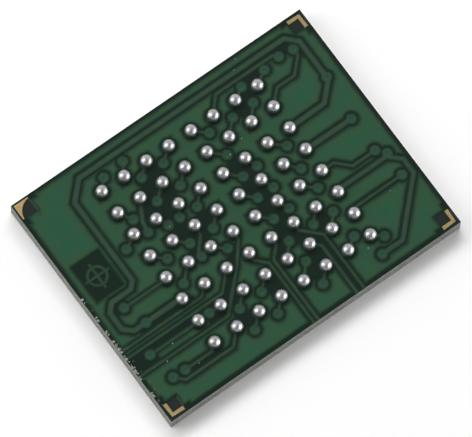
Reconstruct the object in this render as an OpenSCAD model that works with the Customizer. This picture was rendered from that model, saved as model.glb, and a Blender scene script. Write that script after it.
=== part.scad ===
// Ball grid array package with 64 solder balls, lying balls up on its moulded face.
// The origin is the middle of that face, +X runs along the package and +Z through
// the balls. Rows A to H run from +Y to -Y, columns 1 to 8 from -X to +X, and ball
// A1 is the one nearest the filled corner mark. All sizes are millimetres.

/* [Package] */
// Length of the package, along X
body_l = 13; // [12.9:0.05:13.5]
// Width of the package, along Y
body_w = 10; // [9.9:0.05:10.5]
// Thickness of the moulded cap
mold_t = 0.53; // [0.45:0.01:0.8]
// Depth of the round A1 dimple in the moulded face
dimple_h = 0.03; // [0.01:0.01:0.06]
// Diameter of the A1 dimple
dimple_d = 0.8; // [0.4:0.1:1.2]

/* [Laminate] */
// Thickness of the glass and resin core
core_t = 0.19; // [0.1:0.01:0.3]
// Thickness of the etched copper on each side
copper_t = 0.02; // [0.01:0.005:0.03]
// Thickness of the solder mask over copper
mask_over_copper = 0.02; // [0.015:0.005:0.04]
// Height of the step between mask over copper and mask over bare core
mask_step = 0.015; // [0.005:0.005:0.02]
// How far the raised mask overlaps each copper edge
mask_shoulder = 0.015; // [0.005:0.005:0.03]
// Strip without copper round the edge of the laminate
edge_strip = 0.15; // [0.1:0.01:0.2]

/* [Solder balls] */
// Distance from one ball to the next
ball_pitch = 1; // [0.99:0.005:1.01]
// Diameter of a reflowed ball
ball_d = 0.48; // [0.44:0.01:0.5]
// Diameter of the mask opening that the ball wets
opening_d = 0.4; // [0.34:0.01:0.41]
// Diameter of the copper pad under the ball
pad_d = 0.46; // [0.42:0.01:0.48]

/* [Copper artwork] */
// Width of a fine trace
fine_w = 0.09; // [0.07:0.01:0.1]
// Width of a broad trace
broad_w = 0.18; // [0.14:0.01:0.19]
// Etched gap between a net and the ground pour
gap = 0.11; // [0.09:0.01:0.12]
// Etched gap beside the traces that run out to a sawn edge
tail_gap = 0.08; // [0.06:0.01:0.09]
// Diameter of a via land
land_d = 0.38; // [0.34:0.01:0.4]
// Diameter of a drilled via hole
via_d = 0.15; // [0.1:0.01:0.2]
// Thickness of the copper plated in the hole
plating_t = 0.02; // [0.01:0.005:0.03]

/* [Silicon die] */
// Length of the die, along X
die_l = 8; // [7:0.1:8.1]
// Width of the die, along Y
die_w = 6.6; // [6.2:0.1:8]
// Thickness of the die
die_t = 0.16; // [0.1:0.01:0.2]
// Thickness of the film that glues the die down
film_t = 0.02; // [0.01:0.005:0.03]
// Number of bond wires at each end of the die
wires_per_end = 24; // [12:2:24]
// Thickness of a bond wire
wire_d = 0.025; // [0.02:0.005:0.03]
// Rise of a wire loop above the die
loop_h = 0.13; // [0.08:0.01:0.16]

/* [Hidden] */
ROWS = ["a", "b", "c", "d", "e", "f", "g", "h"];
$fn = 48;

// Heights of the layers above the moulded face
die_mask_t = copper_t + mask_over_copper;
core_z = mold_t + die_mask_t;
copper_z = core_z + core_t;
pad_z = copper_z + copper_t;
film_z = mold_t - film_t;
die_z = film_z - die_t;

// Corner marks, measured from the corner of the package
mark_edge = 0.07;
mark_reach = 0.68;
mark_w = 0.16;
mark_arc_r = 0.6;
window_edge = 0.04;
window_reach = 0.74;
// Steps in the pour beside each corner window
step_reach = 1;
step_w = 0.26;

// Bond fingers beyond each end of the die, in a slot through the mask
finger_l = 0.32;
finger_w = 0.12;
finger_pitch = 0.25;
finger_x = 4.5;
slot_l = 0.44;
slot_w = wires_per_end * finger_pitch + 0.2;
die_pad_x = die_l / 2 - 0.1;
wire_stub = 0.04;

// Etched window and the registration target in it
target_window = [[-6.12, 0.16], [-4.85, 1.84]];
target_place = (target_window[0] + target_window[1]) / 2;
target_r = 0.36;
target_arm = 0.52;
target_line = 0.07;

// Square corner of a pad's etched ring, on the side away from its via
ring_corner = 0.29;
ring_corner_from = 0.25;

function ball(row, col) = [(col - 3.5) * ball_pitch, (3.5 - row) * ball_pitch];

// Short nets, a ball pad and the via land beside it: [row, column, land]
DOG_BONES = [
    [0, 0, [-3.12, 3.9]], [0, 1, [-2.2, 4.0]], [0, 2, [-2.0, 3.1]], [0, 3, [-1.02, 3.08]],
    [0, 4, [1.02, 3.05]], [0, 6, [3.0, 3.8]], [0, 7, [4.07, 3.84]],
    [1, 0, [-3.17, 1.98]], [1, 2, [-2.06, 2.04]], [1, 3, [-1.02, 2.04]],
    [1, 4, [1.05, 2.0]], [1, 5, [2.05, 3.03]], [1, 6, [3.0, 3.06]],
    [2, 0, [-4.04, 1.2]], [2, 1, [-2.26, 1.07]], [2, 2, [-1.75, 1.06]], [2, 3, [-1.0, 1.03]],
    [2, 4, [1.05, 0.98]], [2, 5, [1.7, 1.02]], [2, 6, [3.04, 1.0]],
    [3, 0, [-3.03, 0.05]], [3, 1, [-2.02, 0.05]], [3, 3, [-1.0, 0.02]],
    [3, 4, [1.0, 0.02]], [3, 5, [1.7, 0.02]], [3, 6, [2.95, 0]],
    [4, 1, [-3.1, -1.05]], [4, 2, [-1.02, -0.9]], [4, 4, [1.0, -0.97]],
    [4, 5, [1.7, -0.96]], [4, 6, [3.02, -0.95]],
    [5, 6, [2.06, -1.98]],
    [6, 1, [-3.0, -2.5]], [6, 2, [-2.0, -3.0]], [6, 3, [-0.98, -2.95]],
    [6, 4, [0.97, -1.97]], [6, 6, [2.93, -2.0]],
    [7, 2, [-2.02, -3.97]], [7, 3, [-0.98, -3.96]], [7, 4, [1.01, -2.95]],
    [7, 5, [1.02, -4.0]], [7, 6, [3.0, -3.2]], [7, 7, [3.9, -3.83]]
];

left_x = -body_l / 2;
lower_y = -body_w / 2;

// Longer nets: [trace width, etched gap, ball pads, via lands, points after the first pad]
LONG_NETS = [
    // the ring trace, from ball C8 round the upper and left sides to ball F1
    [broad_w, gap, [[2, 7], [5, 0]], [[5.77, 2.3], [-5.08, -1.45]],
        [[5.1, 1.54], [5.77, 2.2], [5.77, 4.0], [5.35, 4.41], [-3.87, 4.41], [-4.55, 3.73],
        [-4.55, 0.12], [-4.78, -0.11], [-5.65, -0.11], [-5.93, -0.4], [-5.93, -1.15],
        [-5.62, -1.45], [-3.6, -1.45]]],
    // upper right corner
    [fine_w, gap, [[0, 5]], [[4.8, 3.95]], [[2.08, 4.12], [4.63, 4.12], [4.8, 3.95]]],
    [fine_w, gap, [[1, 7]], [[5.4, 3.87]], [[4.05, 3.03], [4.85, 3.03], [5.4, 3.58], [5.4, 3.87]]],
    // right side
    [broad_w, gap, [[3, 7]], [[5.56, 0.48]], [[5.56, 0.48]]],
    [fine_w, gap, [[4, 7]], [[5.55, -1]], [[4.05, -0.51], [4.54, -1], [5.55, -1]]],
    [0.16, gap, [[5, 7]], [[5.86, -1.34], [3.44, -4.34]], [[3.7, -1.42], [5.75, -1.42],
        [6.2, -1.85], [6.2, -2.5], [4.35, -4.34], [3.44, -4.34]]],
    [fine_w, gap, [[6, 7]], [[5.8, -2.32]], [[3.7, -2.32], [5.8, -2.32]]],
    // between the balls
    [0.13, gap, [[1, 1]], [[-3.02, 1.27]], [[-2.95, 1.72], [-3.02, 1.27]]],
    [fine_w, gap, [[3, 2]], [[-1.97, -0.6]], [[-1.52, 0.1], [-1.97, -0.42], [-1.97, -0.6]]],
    // out to the left edge
    [fine_w, tail_gap, [[4, 3]], [], [[-0.5, -0.85], [-1.1, -1.6], [-2.5, -2.98], [left_x, -2.98]]],
    [fine_w, tail_gap, [[5, 1]], [], [[-2.86, -1.84], [left_x, -1.84]]],
    [fine_w, tail_gap, [[5, 2]], [], [[-2.18, -2.16], [left_x, -2.16]]],
    // left side
    [fine_w, tail_gap, [[4, 0]], [[-5.4, -0.55]], [[-3.7, -0.55], [-5.4, -0.55]]],
    [fine_w, tail_gap, [[6, 0]], [[-5.66, -2.53]], [[-3.7, -2.53], [-5.66, -2.53]]],
    [fine_w, gap, [[7, 0]], [[-4.95, -3.72]], [[-3.76, -3.72], [-4.95, -3.72]]],
    [fine_w, gap, [[7, 1]], [[-5.48, -3.7]], [[-3.03, -4.04], [-5.15, -4.04], [-5.48, -3.7]]],
    // out to the lower edge
    [fine_w, gap, [[5, 3]], [], [[-0.5, -1.82], [-0.11, -2.22], [-0.11, lower_y]]],
    [fine_w, gap, [[5, 4]], [], [[0.5, -1.8], [0.09, -2.22], [0.09, lower_y]]],
    [fine_w, gap, [[6, 5]], [], [[1.84, -2.8], [1.84, lower_y]]],
    [fine_w, gap, [[5, 5]], [], [[1.5, -1.84], [2.15, -2.5], [2.15, lower_y]]]
];
VIAS = concat([for (bone = DOG_BONES) bone[2]], [for (net = LONG_NETS) each net[3]]);

// Places between the nets where the pour is etched away
BARE = [
    // left side
    [[left_x, -2.2], [-2.1, -2.2], [-2.4, -2.8], [-2.5, -2.92], [-3.22, -2.92], [-3.22, -2.5],
        [-5.42, -2.5], [-5.42, -2.92], [left_x, -2.92]],
    [[-5.5, -1.6], [-3.1, -1.6], [-3.1, -1.75], [-5.5, -1.75]],
    [[-5.78, -0.25], [-5.15, -0.25], [-5.15, -0.5], [-5.6, -0.5], [-5.6, -0.72], [-5.78, -0.72]],
    [[-4.85, -3.8], [-3.35, -3.8], [-3.35, -3.95], [-4.85, -3.95]],
    // between columns 1 and 4
    [[-3.3, 1.8], [-3.0, 1.8], [-3.0, 1.5], [-3.3, 1.5]],
    [[-2.35, 3.1], [-2.0, 3.4], [-1.5, 3.6], [-1.2, 3.3], [-1.15, 2.8], [-1.25, 2.2],
        [-1.25, 1.75], [-1.6, 1.7], [-1.75, 1.3], [-1.7, 0.75], [-1.6, 0.1], [-1.95, 0.1],
        [-2.25, 0.3], [-2.35, 0.85], [-2.3, 1.4], [-2.6, 1.6], [-2.85, 1.75], [-2.55, 2.25],
        [-2.25, 2.75]],
    [[-1.35, 0.8], [-0.65, 0.8], [-0.7, 0.3], [-1.2, 0.2], [-1.2, -0.25], [-1.65, -0.2],
        [-1.5, 0.1], [-1.25, 0.35]],
    [[-2.3, -0.15], [-1.9, -0.25], [-2.1, -0.55], [-2.3, -0.5]],
    [[-1.3, -1.15], [-0.85, -1.1], [-1.15, -1.6]],
    [[-2.45, -2.2], [-2.0, -2.0], [-1.55, -1.7], [-1.45, -1.85], [-2.05, -2.5], [-2.2, -2.55]],
    [[-2.15, -2.75], [-1.75, -2.35], [-1.75, -2.75]],
    [[-2.3, -2.85], [-2.05, -3.25], [-1.7, -3.2], [-1.75, -3.75], [-2.3, -3.75], [-2.35, -3.15]],
    [[-0.8, -2.65], [-0.2, -2.6], [-0.2, -3.75], [-0.35, -3.75], [-0.3, -3.3], [-0.8, -3.3]],
    // between columns 5 and 6
    [[0.8, 1.75], [1.35, 1.85], [1.5, 1.5], [1.6, 1.0], [1.5, 0.5], [1.6, 0], [1.5, -0.5],
        [1.6, -0.95], [1.45, -1.4], [1.5, -1.9], [1.65, -2.25], [1.3, -2.6], [1.2, -2.3],
        [0.75, -2.3], [0.25, -2.3], [0.25, -2.15], [0.55, -1.8], [0.75, -1.5]],
    [[1.25, -2.5], [1.6, -2.8], [1.8, -2.75], [1.8, -3.45], [1.5, -3.4], [1.15, -3.35],
        [1.15, -3.1]],
    [[0.75, -3.3], [1.2, -3.15], [1.3, -3.4], [1.2, -3.75], [0.8, -3.75]],
    [[1.8, -2.3], [2.1, -2.7], [2.1, -2.95], [1.8, -2.7]],
    // right of column 6
    [[2.0, -2.1], [2.3, -1.75], [2.7, -1.75], [2.65, -2.2], [2.25, -2.45]],
    [[2.25, 3.3], [2.8, 3.6], [3.15, 3.7], [3.25, 4.0], [3.85, 4.0], [3.85, 3.8], [3.4, 3.7],
        [3.25, 3.25], [2.85, 3.3], [2.7, 2.8], [2.3, 2.8]],
    [[4.85, 4.25], [5.35, 4.25], [5.35, 4.05], [5.1, 3.8], [4.95, 4.0]],
    [[5.5, 3.65], [5.65, 3.65], [5.65, 3.25], [5.5, 3.4]]
];

// Direction and mitred sides of a trace
function unit(v) = v / norm(v);
function left_of(v) = [-v[1], v[0]];
function heading(path, i) = unit(path[i + 1] - path[i]);
function mitre(path, i, d) =
    let (last = len(path) - 1)
    let (before = heading(path, max(i - 1, 0)))
    let (after = heading(path, min(i, last - 1)))
    path[i] + (left_of(before) + left_of(after)) * d / (1 + before * after);

function bone_path(bone) = [ball(bone[0], bone[1]), bone[2]];
function net_pads(net) = [for (pad = net[2]) ball(pad[0], pad[1])];
function net_path(net) = concat([net_pads(net)[0]], net[4]);

module track(path, w) {
    last = len(path) - 1;
    polygon(concat(
        [for (i = [0:last]) mitre(path, i, w / 2)],
        [for (i = [last:-1:0]) mitre(path, i, -w / 2)]
    ));
}

module spot(place, d) translate(place) circle(d = d);

module board_2d(inset = 0) square([body_l - 2 * inset, body_w - 2 * inset], center = true);

// One flat outline in each corner: quarter 0 is +X +Y, then anticlockwise
module in_corner(quarter) {
    sides = [[1, 1], [-1, 1], [-1, -1], [1, -1]][quarter];
    translate([sides[0] * body_l / 2, sides[1] * body_w / 2])
        mirror([sides[0] > 0 ? 1 : 0, 0])
            mirror([0, sides[1] > 0 ? 1 : 0])
                children();
}

module layer(z, t) translate([0, 0, z]) linear_extrude(t) children();

// Ball-side copper, made wider by grow all round

module dog_bones_2d(grow = 0) {
    for (bone = DOG_BONES) {
        spot(bone_path(bone)[0], pad_d + 2 * grow);
        track(bone_path(bone), fine_w + 2 * grow);
        spot(bone[2], land_d + 2 * grow);
    }
}

module long_nets_2d(grow = 0) {
    for (net = LONG_NETS) {
        for (pad = net_pads(net)) spot(pad, pad_d + 2 * grow);
        track(net_path(net), net[0] + 2 * grow);
        for (land = net[3]) spot(land, land_d + 2 * grow);
    }
}

// Etched gaps round the nets, made narrower by grow

module ring_corner_2d(place, toward, grow) {
    if (min(abs(toward[0]), abs(toward[1])) > ring_corner_from)
        translate(place)
            mirror([toward[0] > 0 ? 1 : 0, 0])
                mirror([0, toward[1] > 0 ? 1 : 0])
                    square(ring_corner - grow);
}

module clearance_2d(grow = 0) {
    dog_bones_2d(gap - grow);
    for (bone = DOG_BONES) {
        pad = bone_path(bone)[0];
        ring_corner_2d(pad, bone[2] - pad, grow);
    }
    for (net = LONG_NETS) {
        for (pad = net_pads(net)) spot(pad, pad_d + 2 * (gap - grow));
        track(net_path(net), net[0] + 2 * (net[1] - grow));
        for (land = net[3]) spot(land, land_d + 2 * (gap - grow));
        ring_corner_2d(net_path(net)[0], net_path(net)[1] - net_path(net)[0], grow);
    }
}

module corner_clearance_2d(grow) {
    square(window_reach - grow);
    square([step_reach, step_w - grow]);
    square([step_w - grow, step_reach]);
}

module target_window_2d(grow) {
    size = target_window[1] - target_window[0];
    translate(target_place) square([size[0] - 2 * grow, size[1] - 2 * grow], center = true);
}

module pour_2d(grow = 0) {
    difference() {
        board_2d(edge_strip - grow);
        clearance_2d(grow);
        target_window_2d(grow);
        for (quarter = [0:3]) in_corner(quarter) corner_clearance_2d(grow);
        for (outline = BARE) polygon(outline);
    }
}

module target_2d(grow = 0) {
    line = target_line + 2 * grow;
    arm = 2 * target_arm + 2 * grow;
    translate(target_place) {
        difference() {
            circle(target_r + line / 2);
            circle(target_r - line / 2);
        }
        square([arm, line], center = true);
        square([line, arm], center = true);
    }
}

// Holes

module via_holes_2d(d = via_d) for (via = VIAS) spot(via, d);

module pad_openings_2d() for (row = [0:7], col = [0:7]) spot(ball(row, col), opening_d);

module corner_windows_2d() {
    for (quarter = [0:3]) in_corner(quarter)
        translate([window_edge, window_edge]) square(window_reach - 2 * window_edge);
}

// Corner marks

module l_mark_2d() {
    translate([mark_edge, mark_edge]) {
        square([mark_reach - mark_edge, mark_w]);
        square([mark_w, mark_reach - mark_edge]);
    }
}

module pin_1_mark_2d() {
    difference() {
        translate([mark_edge, mark_edge]) square(mark_reach - mark_edge);
        translate([window_reach, window_reach]) circle(mark_arc_r);
    }
}

module corner_mark(quarter)
    color("#c8a068") layer(copper_z, copper_t) in_corner(quarter) children();

// Fingers and slots on the die side

module at_fingers() {
    for (side = [-1, 1], i = [0:wires_per_end - 1])
        translate([side * finger_x, (i - (wires_per_end - 1) / 2) * finger_pitch]) children();
}

module finger_slots_2d()
    for (side = [-1, 1]) translate([side * finger_x, 0]) square([slot_l, slot_w], center = true);

module fingers_2d() at_fingers() square([finger_l, finger_w], center = true);

// The parts

module bond_fingers() {
    color("#b98a4e") layer(core_z - copper_t, copper_t) {
        fingers_2d();
        difference() {
            via_holes_2d(land_d);
            via_holes_2d();
        }
    }
}

module die_side_mask() {
    color("#2f5a3c") difference() {
        layer(mold_t, die_mask_t) difference() {
            board_2d();
            finger_slots_2d();
        }
        layer(core_z - copper_t, copper_t) via_holes_2d(land_d);
    }
}

module die_attach_film()
    color("#d9d2b0") layer(film_z, film_t) square([die_l, die_w], center = true);

module silicon_die()
    color("#6b7280") layer(die_z, die_t) square([die_l, die_w], center = true);

// A wire rises from a pad on the die, crosses its edge and comes down on a finger
module bond_wire_2d() {
    low = die_z - loop_h;
    finger_z = core_z - copper_t;
    track([
        [die_pad_x, die_z], [die_pad_x, die_z - wire_stub],
        [die_pad_x + 0.07, low], [finger_x - 0.16, low + 0.04],
        [finger_x, finger_z - wire_stub], [finger_x, finger_z]
    ], wire_d);
}

module bond_wires() {
    color("#d8b45a")
        for (end = [0, 180]) rotate([0, 0, end])
            for (i = [0:wires_per_end - 1])
                translate([0, (i - (wires_per_end - 1) / 2) * finger_pitch + wire_d / 2, 0])
                    rotate([90, 0, 0]) linear_extrude(wire_d) bond_wire_2d();
}

module mold_cap() {
    color("#47464a") difference() {
        union() {
            layer(0, mold_t) board_2d();
            layer(mold_t, die_mask_t) finger_slots_2d();
        }
        translate([0.9 - body_l / 2, body_w / 2 - 0.9, 0])
            cylinder(d = dimple_d, h = 2 * dimple_h, center = true);
        layer(die_z, die_t + film_t) square([die_l, die_w], center = true);
        layer(core_z - copper_t, copper_t) fingers_2d();
        bond_wires();
    }
}

module laminate_core() {
    color("#59604c") layer(core_z, core_t) difference() {
        board_2d();
        via_holes_2d();
    }
}

module via_barrels() {
    color("#b87a4a") layer(core_z - copper_t, core_t + 2 * copper_t) difference() {
        via_holes_2d();
        via_holes_2d(via_d - 2 * plating_t);
    }
}

module via_plugs()
    color("#3f7d5c") layer(core_z - copper_t, core_t + 2 * copper_t)
        via_holes_2d(via_d - 2 * plating_t);

module ground_pour() color("#8a7a4a") layer(copper_z, copper_t) pour_2d();

// A net in one piece: its pads and lands joined by its trace, with the via holes cut out
module net_piece(pads, lands, path, w) {
    difference() {
        union() {
            for (pad = pads) layer(copper_z, copper_t) spot(pad, pad_d);
            for (land = lands) layer(copper_z, copper_t) spot(land, land_d);
            layer(copper_z, copper_t) track(path, w);
        }
        for (land = lands) layer(copper_z, copper_t) spot(land, via_d);
    }
}

module dog_bone_traces() {
    color("#8a7a4a") for (bone = DOG_BONES)
        net_piece([bone_path(bone)[0]], [bone[2]], bone_path(bone), fine_w);
}

module long_traces() {
    color("#8a7a4a") for (net = LONG_NETS)
        net_piece(net_pads(net), net[3], net_path(net), net[0]);
}

module registration_target() color("#8a7a4a") layer(copper_z, copper_t) target_2d();

// The mask is thicker over the copper, so it shows the artwork in relief
module ball_side_mask() {
    valley_t = copper_t + mask_over_copper - mask_step;
    color("#35563f") difference() {
        union() {
            layer(copper_z, valley_t) board_2d();
            layer(copper_z, copper_t + mask_over_copper) intersection() {
                board_2d();
                union() {
                    pour_2d(mask_shoulder);
                    dog_bones_2d(mask_shoulder);
                    long_nets_2d(mask_shoulder);
                    target_2d(mask_shoulder);
                }
            }
        }
        layer(copper_z, copper_t) {
            pour_2d();
            dog_bones_2d();
            long_nets_2d();
            target_2d();
        }
        layer(copper_z, 1) {
            pad_openings_2d();
            corner_windows_2d();
        }
    }
}

// A reflowed ball fills the mask opening and swells above it
module solder_ball() {
    r = ball_d / 2;
    neck_r = opening_d / 2;
    centre_h = mask_over_copper + sqrt(r * r - neck_r * neck_r);
    cylinder(r = neck_r, h = mask_over_copper);
    difference() {
        translate([0, 0, centre_h]) sphere(r);
        translate([-r, -r, mask_over_copper - 2 * r]) cube(2 * r);
    }
}

module solder_balls(row) {
    color("#c9c9cc")
        for (col = [0:7]) translate(concat(ball(row, col), pad_z)) solder_ball();
}

mold_cap();
silicon_die();
die_attach_film();
bond_wires();
die_side_mask();
bond_fingers();
laminate_core();
via_barrels();
via_plugs();
ground_pour();
dog_bone_traces();
long_traces();
registration_target();
ball_side_mask();
corner_mark(1) pin_1_mark_2d();  // pin_1_mark
corner_mark(0) l_mark_2d();  // corner_mark_top_right
corner_mark(2) l_mark_2d();  // corner_mark_bottom_left
corner_mark(3) l_mark_2d();  // corner_mark_bottom_right
for (row = [0:7])
    solder_balls(row);
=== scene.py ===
# %% [markdown]
# # A ball grid array package, solder side up
#
# The part is a laminate with etched copper under a green lacquer, a moulded cap below it and a grid of
# solder balls on top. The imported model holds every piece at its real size, and this script gives each one
# its finish. It makes three kinds of piece again in finer form: the lacquer, which flows over the copper
# edges, the balls, which are never quite round, and the gold angles at three corners. It also adds the
# crumbs and the dust that lie on the lacquer. All lengths are metres unless a name ends in mm.

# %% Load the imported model
import math

import bmesh
import bpy
from mathutils import Matrix, Vector


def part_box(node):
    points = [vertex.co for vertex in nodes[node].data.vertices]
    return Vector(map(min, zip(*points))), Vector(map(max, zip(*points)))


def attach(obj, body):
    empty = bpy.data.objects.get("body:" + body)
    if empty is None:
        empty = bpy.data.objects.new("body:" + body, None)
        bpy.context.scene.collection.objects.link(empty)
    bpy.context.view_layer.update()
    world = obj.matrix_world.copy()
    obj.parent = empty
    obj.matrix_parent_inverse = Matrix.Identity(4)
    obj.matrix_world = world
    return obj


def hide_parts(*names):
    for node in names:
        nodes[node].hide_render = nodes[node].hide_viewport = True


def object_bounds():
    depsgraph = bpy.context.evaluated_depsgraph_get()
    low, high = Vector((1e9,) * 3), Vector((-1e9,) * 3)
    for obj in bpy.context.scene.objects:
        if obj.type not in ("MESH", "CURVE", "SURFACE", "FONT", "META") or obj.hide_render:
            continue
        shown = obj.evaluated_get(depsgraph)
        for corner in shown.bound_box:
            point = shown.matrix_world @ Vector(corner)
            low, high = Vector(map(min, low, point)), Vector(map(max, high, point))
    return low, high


MM = 0.001
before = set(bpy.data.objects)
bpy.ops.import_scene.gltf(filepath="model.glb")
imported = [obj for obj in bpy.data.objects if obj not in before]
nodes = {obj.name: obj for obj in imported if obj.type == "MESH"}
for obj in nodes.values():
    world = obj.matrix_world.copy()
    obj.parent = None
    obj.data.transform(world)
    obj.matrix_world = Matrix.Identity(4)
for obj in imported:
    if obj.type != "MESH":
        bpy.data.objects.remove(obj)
cad_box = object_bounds()
body_low, body_high = cad_box
print("CAD box in mm:", [round(v / MM, 3) for v in (*body_low, *body_high)])

# %% [markdown]
# ## Helpers for node trees
#
# A node tree is easier to read when a node, its settings and its links are one call. `add` makes a node,
# sets the properties given by name, gives a colour ramp its tones, and fills the inputs with numbers or
# with links from other nodes. The inputs are a list in the node's own order, or a dictionary by name or
# number. Colours are written as sRGB hex, the way a colour picker shows them, and made linear in one place.

# %% Helpers for node trees and colours
# the colour sockets of a Mix node
FACTOR, FIRST, SECOND = 0, 6, 7


def linear(hex_colour):
    """An sRGB colour such as 35563f as linear red, green, blue and alpha."""
    parts = [int(hex_colour[i:i + 2], 16) / 255 for i in (0, 2, 4)]
    return (*[c / 12.92 if c <= 0.04045 else ((c + 0.055) / 1.055) ** 2.4 for c in parts], 1)


def output_of(value):
    """The first output in use of a node, or the value itself."""
    if isinstance(value, bpy.types.Node):
        return next(socket for socket in value.outputs if socket.enabled)
    return value


def fill(tree, node, inputs):
    """Sets a node's inputs to numbers, or links them to other nodes."""
    pairs = inputs.items() if isinstance(inputs, dict) else enumerate(inputs)
    for key, value in pairs:
        value = output_of(value)
        if isinstance(value, bpy.types.NodeSocket):
            tree.links.new(value, node.inputs[key])
        else:
            node.inputs[key].default_value = value


def add(tree, kind, inputs=(), tones=(), **settings):
    """Adds a node with its properties, its tones if it is a colour ramp, and its inputs."""
    node = tree.nodes.new(kind)
    for name, value in settings.items():
        setattr(node, name, value)
    if tones:
        elements = node.color_ramp.elements
        while len(elements) < len(tones):
            elements.new(0.5)
        for element, (position, tone) in zip(elements, tones):
            element.position = position
            element.color = linear(tone)
    fill(tree, node, inputs)
    return node


def product(tree, first, *factors):
    """Any number of values multiplied together."""
    for factor in factors:
        first = add(tree, "ShaderNodeMath", [first, factor], operation="MULTIPLY")
    return first


# %% [markdown]
# ## Camera
#
# A part 13 mm long is seen through a long lens from a distance of some 0.3 m, which flattens the
# perspective. The camera looks down steeply, turned 41 degrees round the part and rolled by 5 degrees.

# %% Camera
CAMERA_DISTANCE = 0.3
CAMERA_AZIMUTH = math.radians(-40.89)
CAMERA_ELEVATION = math.radians(73.19)
CAMERA_ROLL = math.radians(5.2)
CAMERA_LENS = 626.7
CAMERA_SENSOR = 36
CAMERA_CLIP = (0.01, 10)
AIM_RIGHT = 0.022 * MM
AIM_UP = 0.076 * MM
AIM_HEIGHT = -0.06 * MM


def camera_axes():
    """Right, up and back vectors of the camera."""
    level = math.cos(CAMERA_ELEVATION)
    back = Vector((math.sin(CAMERA_AZIMUTH) * level, -math.cos(CAMERA_AZIMUTH) * level,
                   math.sin(CAMERA_ELEVATION)))
    flat_right = Vector((0, 0, 1)).cross(back).normalized()
    right = Matrix.Rotation(CAMERA_ROLL, 3, back) @ flat_right
    return right, back.cross(right), back


def place_camera():
    """Puts the camera on its line of sight, a little off the part's middle, and makes it the one used."""
    right, up, back = camera_axes()
    data = bpy.data.cameras.new("camera")
    data.lens = CAMERA_LENS
    data.sensor_width = CAMERA_SENSOR
    data.clip_start, data.clip_end = CAMERA_CLIP
    camera = bpy.data.objects.new("camera", data)
    bpy.context.scene.collection.objects.link(camera)
    turn = Matrix((right, up, back)).transposed().to_4x4()
    place = back * CAMERA_DISTANCE + right * AIM_RIGHT + up * AIM_UP + Vector((0, 0, AIM_HEIGHT))
    camera.matrix_world = Matrix.Translation(place) @ turn
    bpy.context.scene.camera = camera
    return camera


camera = place_camera()
print("camera stands at", [round(v, 4) for v in camera.location])

# %% [markdown]
# ## Floor and light
#
# The floor is pale diffuse paper, so it keeps the part's shadow. It adds a little light of its own for
# camera and mirror rays, so that it reads as plain white.

# %% Floor
FLOOR_SIZE = 4.0
FLOOR_TONE = "f3f3f3"
FLOOR_LIFT = 0.13


def studio_floor_paper():
    """Matt white card: an even white with no gloss, a touch brighter to the eye than its light alone."""
    material = bpy.data.materials.new("studio_floor_paper")
    material.use_nodes = True
    tree = material.node_tree
    tree.nodes.clear()
    path = add(tree, "ShaderNodeLightPath").outputs
    seen = path["Is Camera Ray"]
    for ray in ("Is Glossy Ray", "Is Transmission Ray"):
        seen = add(tree, "ShaderNodeMath", [seen, path[ray]], operation="MAXIMUM")
    paper = add(tree, "ShaderNodeBsdfDiffuse", {"Color": linear(FLOOR_TONE)})
    lift = add(tree, "ShaderNodeEmission", {"Strength": product(tree, seen, FLOOR_LIFT)})
    both = add(tree, "ShaderNodeAddShader", [paper, lift])
    add(tree, "ShaderNodeOutputMaterial", {"Surface": both})
    return material


def lay_floor():
    """One large square at the height that the part rests on. It belongs to the stage."""
    half = FLOOR_SIZE / 2
    mesh = bpy.data.meshes.new("floor")
    corners = [(-half, -half, 0), (half, -half, 0), (half, half, 0), (-half, half, 0)]
    mesh.from_pydata(corners, [], [(0, 1, 2, 3)])
    mesh.materials.append(studio_floor_paper())
    floor = bpy.data.objects.new("floor", mesh)
    bpy.context.scene.collection.objects.link(floor)


lay_floor()
print("floor is", FLOOR_SIZE, "m wide")

# %% [markdown]
# Solder is a mirror, so the studio is seen in every ball: a tall panel on each side makes the pair of
# bright lobes, and the dim sky overhead makes the grey gap between them. A key panel high behind the part
# throws its shadow forward, and a low fill lights the two near sides. Those two are hidden from mirror
# rays, so that each ball shows just the pair, and the right panel is hidden from diffuse rays, so that it
# doesn't wash the shadow out.

# %% Panels
PANEL_DISTANCE = 0.3


def hang_panel(name, azimuth, elevation, width, height, radiance):
    """A flat lamp that faces the part, its angles in degrees and its width and height in metres."""
    a, e = math.radians(azimuth), math.radians(elevation)
    back = Vector((math.cos(a) * math.cos(e), math.sin(a) * math.cos(e), math.sin(e)))
    data = bpy.data.lights.new(name, "AREA")
    data.shape = "RECTANGLE"
    data.size = width
    data.size_y = height
    data.energy = radiance * math.pi * width * height
    panel = bpy.data.objects.new(name, data)
    bpy.context.scene.collection.objects.link(panel)
    panel.location = back * PANEL_DISTANCE
    panel.rotation_mode = "QUATERNION"
    panel.rotation_quaternion = back.to_track_quat("Z", "Y")
    panel.visible_camera = False
    return panel


hang_panel("left_panel", azimuth=146, elevation=37, width=0.20, height=0.30, radiance=2.4)
right_panel = hang_panel("right_panel", azimuth=-48, elevation=11, width=0.30, height=0.25, radiance=3.7)
right_panel.visible_diffuse = False
fill_panel = hang_panel("low_fill", azimuth=-60, elevation=7, width=0.3, height=0.09, radiance=2.8)
fill_panel.visible_glossy = False
key_panel = hang_panel("key_panel", azimuth=68, elevation=52, width=0.30, height=0.10, radiance=6.0)
key_panel.visible_glossy = False
print("hung", len(bpy.data.lights), "panels")

# %% Sky
SKY_OVERHEAD = 0.22
SKY_BACK_WALL = 0.65
# cosine of the angle to the far side, from where the wall starts to show to where it is full
WALL_SWEEP = (-0.2, 0.8)
# sine of the height over which the white floor's light gives way to the sky's
HORIZON = (0.03, 0.06)


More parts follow.
